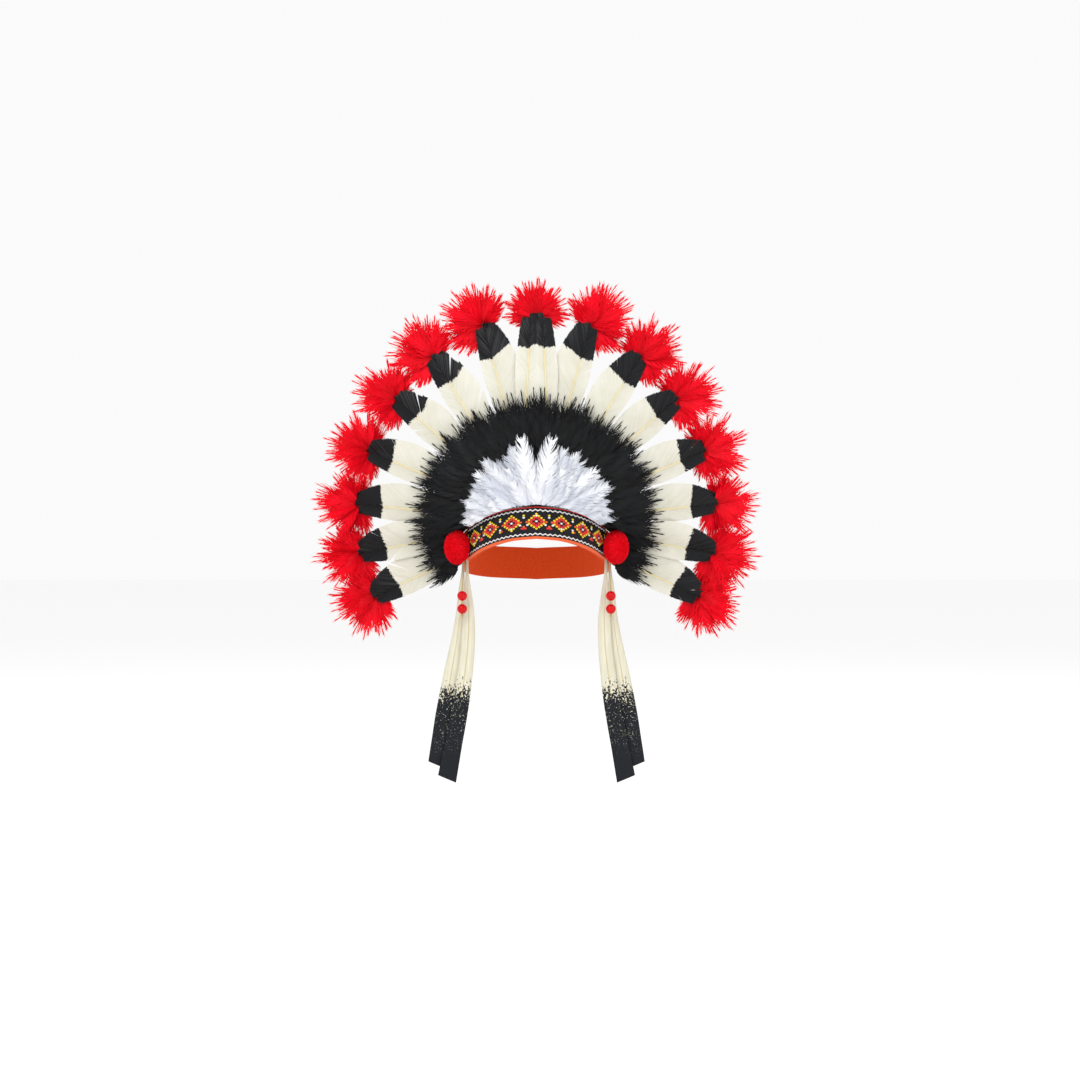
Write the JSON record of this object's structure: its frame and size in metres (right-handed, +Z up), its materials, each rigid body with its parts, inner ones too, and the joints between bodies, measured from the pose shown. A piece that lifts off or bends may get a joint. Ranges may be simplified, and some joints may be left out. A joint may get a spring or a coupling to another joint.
{
  "type": "feathered headdress",
  "caption": "Headband with a standing fan of dipped goose feathers tipped with red fluff, two plumes, a woven trim, pompoms, ribbons and beads.",
  "frame": {"origin": "centre of the head opening, at the height of the band's middle above the ears", "axes": "+Z up along the wearer's head, the wearer faces -Y, +X to the right as seen from the front"},
  "size_m": [0.4604, 0.2041, 0.5292],
  "materials": {
    "red_felt": "matte felt",
    "woven_trim": "woven strip with a charted diamond pattern",
    "black_felt": "matte felt",
    "goose_vane": "goose feather with a black dipped tip",
    "red_fluff": "soft dyed down",
    "black_fluff": "soft dyed hackle",
    "white_fluff": "soft hackle",
    "red_wool": "clipped wool pile",
    "dipped_ribbon": "cream strip with a black dipped end",
    "red_gloss": "glossy",
    "thread": "waxed thread"
  },
  "bodies": {
    "root": {"felt_band": "red_felt", "woven_trim": "woven_trim", "fan_panel": "black_felt", "black_plume": "black_fluff", "white_plume": "white_fluff", "goose_feather_centre_left": "goose_vane", "goose_feather_centre_right": "goose_vane", "goose_feather_left_1": "goose_vane", "goose_feather_left_2": "goose_vane", "goose_feather_left_3": "goose_vane", "goose_feather_left_4": "goose_vane", "goose_feather_left_5": "goose_vane", "goose_feather_left_6": "goose_vane", "goose_feather_left_7": "goose_vane", "goose_feather_right_1": "goose_vane", "goose_feather_right_2": "goose_vane", "goose_feather_right_3": "goose_vane", "goose_feather_right_4": "goose_vane", "goose_feather_right_5": "goose_vane", "goose_feather_right_6": "goose_vane", "goose_feather_right_7": "goose_vane", "tuft_centre": "red_fluff", "tuft_left_1": "red_fluff", "tuft_left_2": "red_fluff", "tuft_left_3": "red_fluff", "tuft_left_4": "red_fluff", "tuft_left_5": "red_fluff", "tuft_left_6": "red_fluff", "tuft_left_7": "red_fluff", "tuft_right_1": "red_fluff", "tuft_right_2": "red_fluff", "tuft_right_3": "red_fluff", "tuft_right_4": "red_fluff", "tuft_right_5": "red_fluff", "tuft_right_6": "red_fluff", "tuft_right_7": "red_fluff", "pompom_left": "red_wool", "pompom_right": "red_wool", "ribbon_outer_left": "dipped_ribbon", "ribbon_outer_right": "dipped_ribbon", "ribbon_inner_left": "dipped_ribbon", "ribbon_inner_right": "dipped_ribbon", "bead_thread_left": "thread", "bead_thread_right": "thread", "bead_left_1": "red_gloss", "bead_left_2": "red_gloss", "bead_right_1": "red_gloss", "bead_right_2": "red_gloss"}
  },
  "joints": []
}
